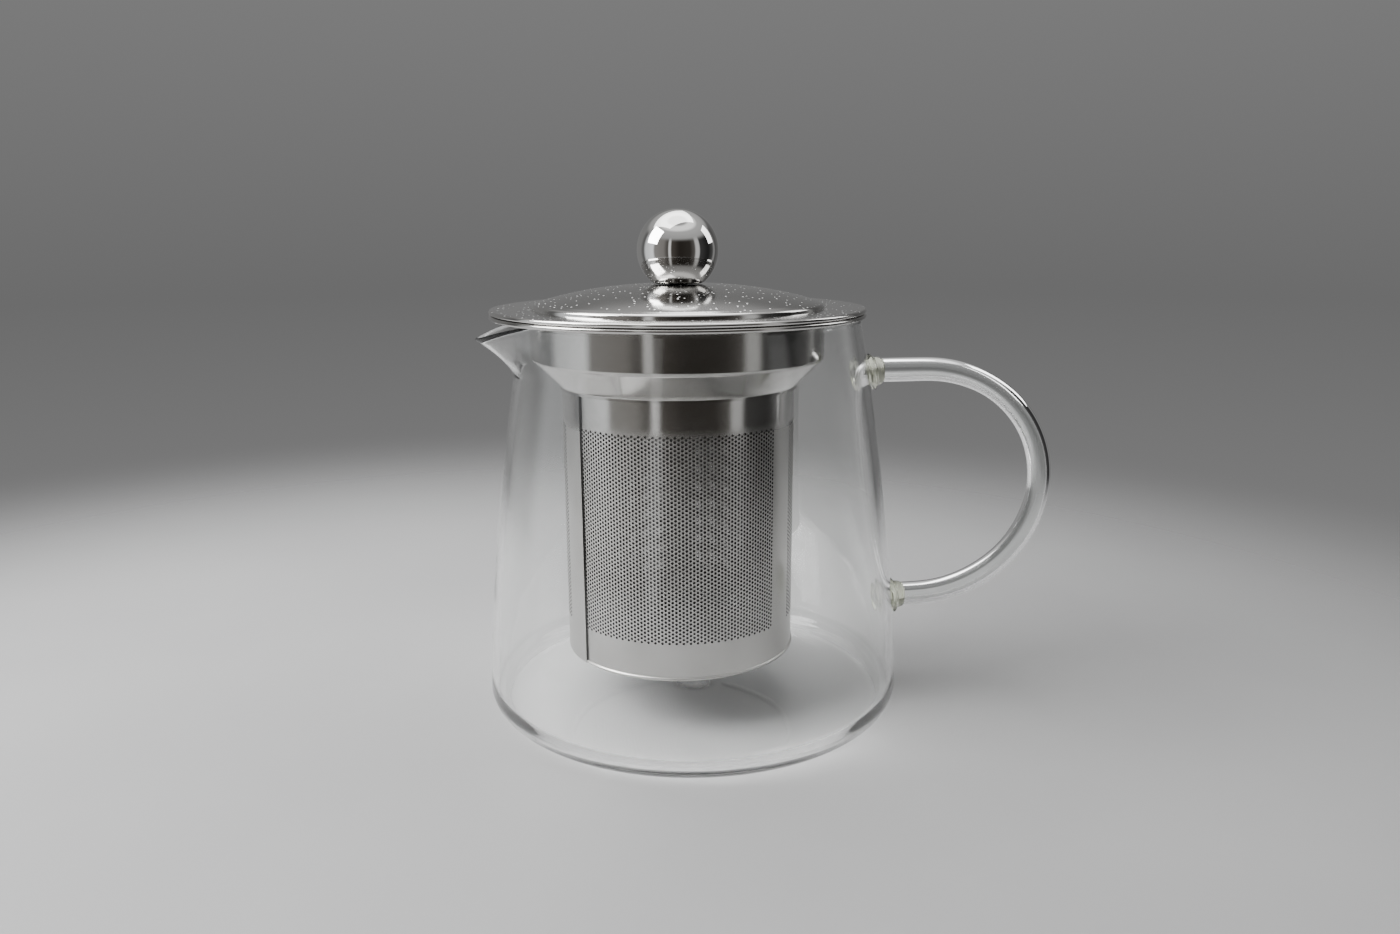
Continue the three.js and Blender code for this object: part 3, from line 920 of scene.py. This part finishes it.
def make_floor():
    """A plain pale round floor that fades into the backdrop, so it shows no hard edge."""
    turns = np.linspace(0, 2 * np.pi, FLOOR_SIDES, endpoint=False)
    x, y, _ = FLOOR_CENTRE
    rim = [(x + FLOOR_REACH * math.cos(t), y + FLOOR_REACH * math.sin(t), 0) for t in turns]
    floor = make_mesh("floor", rim, [list(range(len(rim)))])
    floor.location.z = JUG_LOW.z - FLOOR_DROP
    g = Material("pale_floor")
    grain = g.noise(g.place(), 14.0, 8.0)
    g.set(Base_Color=g.mix(grain, (0.45, 0.45, 0.455, 1), (0.51, 0.51, 0.51, 1)), Roughness=0.6)
    offset = g.vector_math("SUBTRACT", g.place(), FLOOR_CENTRE)[0]
    distance = g.vector_math("LENGTH", offset)["Value"]
    fade = g.span(distance, FLOOR_FADE, FLOOR_REACH, interpolation_type="SMOOTHERSTEP")
    clear = g.node("ShaderNodeBsdfTransparent").outputs[0]
    mixed = g.node("ShaderNodeMixShader", {0: fade, 1: g.shader.outputs[0], 2: clear}).outputs[0]
    g.put(g.tree.nodes["Material Output"].inputs["Surface"], mixed)
    floor.data.materials.append(g.material)


def make_light(name, place, size, power):
    data = bpy.data.lights.new(name, "AREA")
    data.shape = "RECTANGLE"
    data.size, data.size_y = size
    data.energy = power
    light = bpy.data.objects.new(name, data)
    light.location = place
    aim = Vector(LIGHT_TARGET) - Vector(place)
    light.rotation_euler = aim.to_track_quat("-Z", "Y").to_euler()
    bpy.context.scene.collection.objects.link(light)


def sine(degrees):
    return math.sin(math.radians(degrees))


def make_world():
    """A plain grey backdrop, and a studio of tall soft boxes and dark gaps for reflections."""
    world = bpy.data.worlds.new("studio")
    world.use_nodes = True
    g = Graph(world.node_tree)
    direction = g.node("ShaderNodeTexCoord").outputs["Generated"]
    inputs = {"Vector": direction, "Angle": -STUDIO_FRONT}
    from_front = g.node("ShaderNodeVectorRotate", inputs, rotation_type="Z_AXIS").outputs[0]
    ahead, right, up = g.axes(from_front)

    turn = g.span(g.math("ARCTAN2", right, ahead), -math.pi, math.pi)
    stops = [((degrees + 180) / 360, level, warmth) for degrees, level, warmth in STUDIO_WALLS]
    walls = g.ramp(turn, stops, "EASE")
    height = g.span(up, -1.0, 1.0)
    stops = [((sine(degrees) + 1) / 2, level, warmth) for degrees, level, warmth in STUDIO_CEILING]
    ceiling = g.ramp(height, stops, "EASE")
    above = g.span(up, *map(sine, WALLS_INTO_CEILING), interpolation_type="SMOOTHSTEP")
    below = g.span(up, *map(sine, WALLS_INTO_GROUND), interpolation_type="SMOOTHSTEP")
    studio = g.mix(above, walls, ceiling)
    studio = g.mix(below, studio, (STUDIO_GROUND, STUDIO_GROUND, STUDIO_GROUND, 1))

    backdrop = g.ramp(height, BACKDROP)
    bounces = g.node("ShaderNodeLightPath").outputs["Glossy Depth"]
    chosen = g.mix(g.math("GREATER_THAN", bounces, 0.5), backdrop, studio)
    g.put(g.tree.nodes["Background"].inputs["Color"], chosen)
    world.cycles.sampling_method = "NONE"
    bpy.context.scene.world = world
    bpy.context.scene.view_settings.look = "AgX - Medium High Contrast"


def make_camera():
    data = bpy.data.cameras.new("camera")
    data.lens = LENS
    data.sensor_width = SENSOR_WIDTH
    camera = bpy.data.objects.new("camera", data)
    camera.matrix_world = (
        Matrix.Translation(CAMERA_PLACE)
        @ Matrix.Rotation(CAMERA_TURN, 4, "Z")
        @ Matrix.Rotation(math.radians(90) + CAMERA_TILT, 4, "X")
        @ Matrix.Rotation(CAMERA_ROLL, 4, "Z")
    )
    bpy.context.scene.collection.objects.link(camera)
    bpy.context.scene.camera = camera


def main():
    make_camera()
    make_floor()
    make_world()
    for light in LIGHTS:
        make_light(*light)

    jug_glass = glass("jug_glass", (0.992, 0.995, 0.992), (0.978, 0.984, 0.98),
                      wave=0.05 * MM, wave_scale=55.0, haze=0.002, scuffed=0.35)
    handle_glass = glass("handle_glass", (0.98, 0.99, 0.985), (0.95, 0.975, 0.96),
                         wave=0.03 * MM, wave_scale=120.0, haze=0.01)
    weld_glass = glass("weld_glass", (0.93, 0.95, 0.82), (0.86, 0.90, 0.74),
                       wave=0.04 * MM, wave_scale=300.0, haze=0.05)
    polished = steel("polished_steel", (0.60, 0.592, 0.58), (0.56, 0.552, 0.54),
                     roughness=0.10, line_depth=0.0005 * MM, smudge=0.07, spots=130.0)
    collar_steel = steel("collar_steel", (0.50, 0.492, 0.48), (0.46, 0.452, 0.44),
                         roughness=0.11, line_depth=0.0004 * MM, smudge=0.07)
    satin = steel("satin_steel", (0.58, 0.572, 0.56), (0.52, 0.512, 0.50),
                  roughness=0.29, line_depth=0.0015 * MM, smudge=0.05,
                  anisotropy=0.3, polished_above=HOLES_TOP)
    # Painted shade: the back of the basket's sheet and the top of its base are the same satin
    # steel, given a darker colour to stand for the shade inside the basket.
    inside = steel("satin_steel_inside_painted_shade", (0.34, 0.33, 0.315), (0.29, 0.28, 0.265),
                   roughness=0.34, line_depth=0.002 * MM, smudge=0.05)
    # Painted shade: the walls of the holes and the sheet's cut edges are steel painted nearly
    # black, standing for the shade inside the perforations.
    edge = steel("pierced_edge_painted_shade", (0.035, 0.033, 0.03), (0.03, 0.028, 0.025),
                 roughness=0.45, line_depth=0.001 * MM, smudge=0.05)
    mirror = steel("mirror_steel", (0.70, 0.695, 0.685), (0.67, 0.665, 0.655),
                   roughness=0.02, line_depth=0.0003 * MM, smudge=0.02)

    make_jug(jug_glass)
    make_rod(handle_glass)
    top, bottom = HANDLE_CENTRE + HANDLE_HALF_HEIGHT, HANDLE_CENTRE - HANDLE_HALF_HEIGHT
    make_weld("weld_upper", "handle_weld_upper", top, 0.4, weld_glass)
    make_weld("weld_lower", "handle_weld_lower", bottom, 2.1, weld_glass)
    make_collar(collar_steel)
    make_basket_wall((satin, inside, edge))
    make_basket_base(satin, (inside, satin, edge))
    make_lid_shell(polished)
    make_skirt(satin)
    make_ball(mirror)
    make_insert(satin)
    make_washer(satin)
    make_screw(satin)


main()
